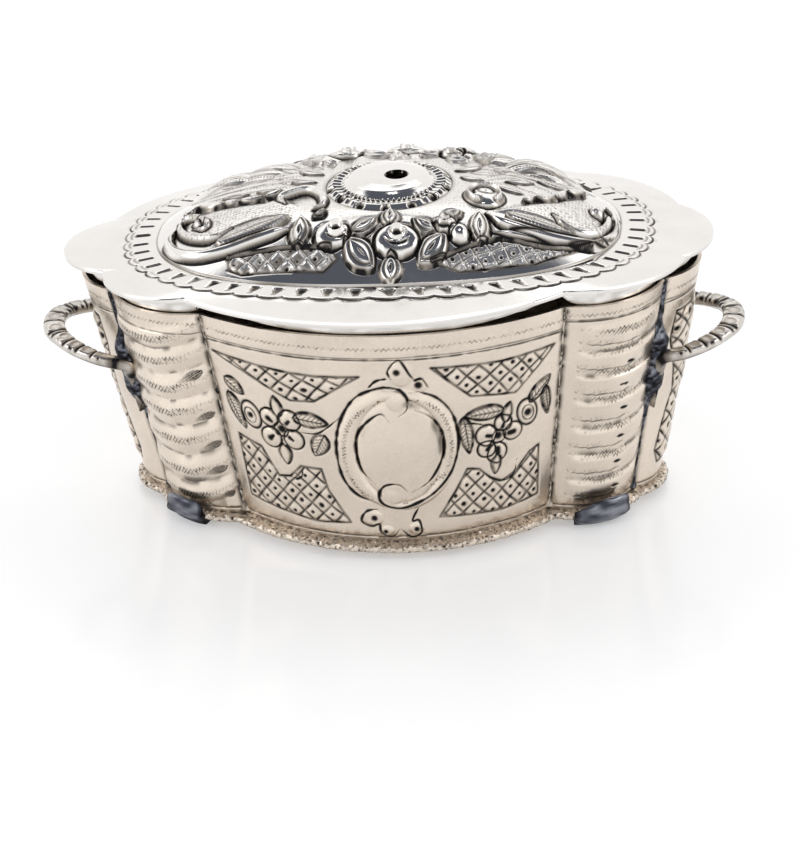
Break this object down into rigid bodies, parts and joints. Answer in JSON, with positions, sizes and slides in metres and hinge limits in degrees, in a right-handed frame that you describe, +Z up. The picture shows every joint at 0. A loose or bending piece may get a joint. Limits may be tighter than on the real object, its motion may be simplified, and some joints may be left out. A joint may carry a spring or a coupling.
{
  "type": "lidded silver box",
  "caption": "Lobed oval box of chased silver sheet with tapering walls, fluted corner columns, strap handles at the ends and a domed lift-off lid.",
  "frame": {"origin": "middle of the bounding box, on the plane that the four feet stand on", "axes": "+Z up, +X along the length of the box towards the right-hand handle, -Y towards the front panel"},
  "size_m": [0.1608, 0.0906, 0.0782],
  "materials": {
    "wall_silver": "hand-chased silver sheet, warm and softly worn, dark in the recesses",
    "lid_silver": "polished silver sheet with raised and chased work, dark in the recesses",
    "handle_silver": "polished silver strap with chased cross grooves",
    "dark_silver": "tarnished silver and solder"
  },
  "bodies": {
    "box": {"front_panel": "wall_silver", "back_panel": "wall_silver", "column_front_right": "wall_silver", "column_back_right": "wall_silver", "column_back_left": "wall_silver", "column_front_left": "wall_silver", "end_panel_right": "wall_silver", "end_panel_left": "wall_silver", "base_plate": "wall_silver", "foot_front_right": "dark_silver", "foot_back_right": "dark_silver", "foot_back_left": "dark_silver", "foot_front_left": "dark_silver", "handle_right": "handle_silver", "handle_left": "handle_silver"},
    "lid": {"lid": "lid_silver", "lid_collar": "lid_silver"}
  },
  "joints": [
    {"name": "lid_lift", "type": "slide", "parent": "box", "child": "lid", "axis": [0, 0, 1], "range_m": [0, 0.09]}
  ]
}
